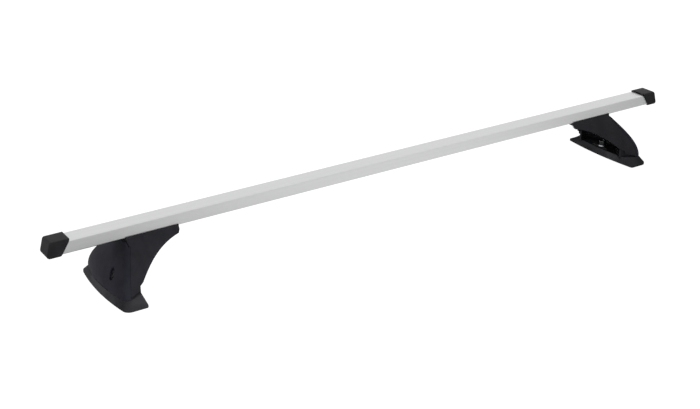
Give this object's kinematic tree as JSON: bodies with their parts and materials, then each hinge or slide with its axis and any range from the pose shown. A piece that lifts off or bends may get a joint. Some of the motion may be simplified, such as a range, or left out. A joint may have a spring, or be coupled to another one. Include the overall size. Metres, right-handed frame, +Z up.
{
  "type": "roof rack crossbar",
  "caption": "Straight rectangular bar with end caps on moulded legs that slide along it, with hinged key-locked covers, rubber foot pads and bolt-down feet.",
  "frame": {"origin": "on the roof plane under the bar's middle: the bottom centre of the whole", "axes": "+X along the bar, +Y across it towards the car's front or rear, +Z up"},
  "size_m": [1.2, 0.17, 0.1054],
  "materials": {
    "bar_aluminium": "satin anodised",
    "cap_polypropylene": "moulded, fine grain",
    "leg_nylon": "moulded, fine grain",
    "cover_nylon": "moulded, satin",
    "pad_rubber": "moulded, matt",
    "bracket_steel": "black powder coat",
    "zinc_steel": "bright zinc plated",
    "lock_zinc": "black chromed die casting"
  },
  "bodies": {
    "bar": {"crossbar": "bar_aluminium", "right_end_cap": "cap_polypropylene", "left_end_cap": "cap_polypropylene"},
    "right_leg": {"right_leg_shell": "leg_nylon", "right_foot_pad": "pad_rubber", "right_leg_bracket": "bracket_steel", "right_tee_bolts": "zinc_steel", "right_flange_nuts": "zinc_steel", "right_mounting_bolt": "zinc_steel", "right_mounting_washer": "zinc_steel"},
    "right_cover": {"right_leg_cover": "cover_nylon"},
    "right_lock": {"right_lock_barrel": "lock_zinc", "right_lock_cam": "zinc_steel", "right_lock_screw": "zinc_steel"},
    "left_leg": {"left_leg_shell": "leg_nylon", "left_foot_pad": "pad_rubber", "left_leg_bracket": "bracket_steel", "left_tee_bolts": "zinc_steel", "left_flange_nuts": "zinc_steel", "left_mounting_bolt": "zinc_steel", "left_mounting_washer": "zinc_steel"},
    "left_cover": {"left_leg_cover": "cover_nylon"},
    "left_lock": {"left_lock_barrel": "lock_zinc", "left_lock_cam": "zinc_steel", "left_lock_screw": "zinc_steel"}
  },
  "joints": [
    {"name": "right_leg_slide", "type": "slide", "parent": "bar", "child": "right_leg", "axis": [1, 0, 0], "range_m": [-0.38, 0.08]},
    {"name": "right_cover_swing", "type": "hinge", "parent": "right_leg", "child": "right_cover", "pos_m": [0.4795, 0, 0.078], "axis": [0, -1, 0], "range_deg": [0, 30]},
    {"name": "right_lock_turn", "type": "hinge", "parent": "right_cover", "child": "right_lock", "pos_m": [0.51111, 0.0285, 0.0395], "axis": [0.8518, 0, 0.5238], "range_deg": [0, 90]},
    {"name": "left_leg_slide", "type": "slide", "parent": "bar", "child": "left_leg", "axis": [-1, 0, 0], "range_m": [-0.38, 0.08]},
    {"name": "left_cover_swing", "type": "hinge", "parent": "left_leg", "child": "left_cover", "pos_m": [-0.4795, 0, 0.078], "axis": [0, 1, 0], "range_deg": [0, 30]},
    {"name": "left_lock_turn", "type": "hinge", "parent": "left_cover", "child": "left_lock", "pos_m": [-0.51111, -0.0285, 0.0395], "axis": [-0.8518, 0, 0.5238], "range_deg": [0, 90]}
  ]
}
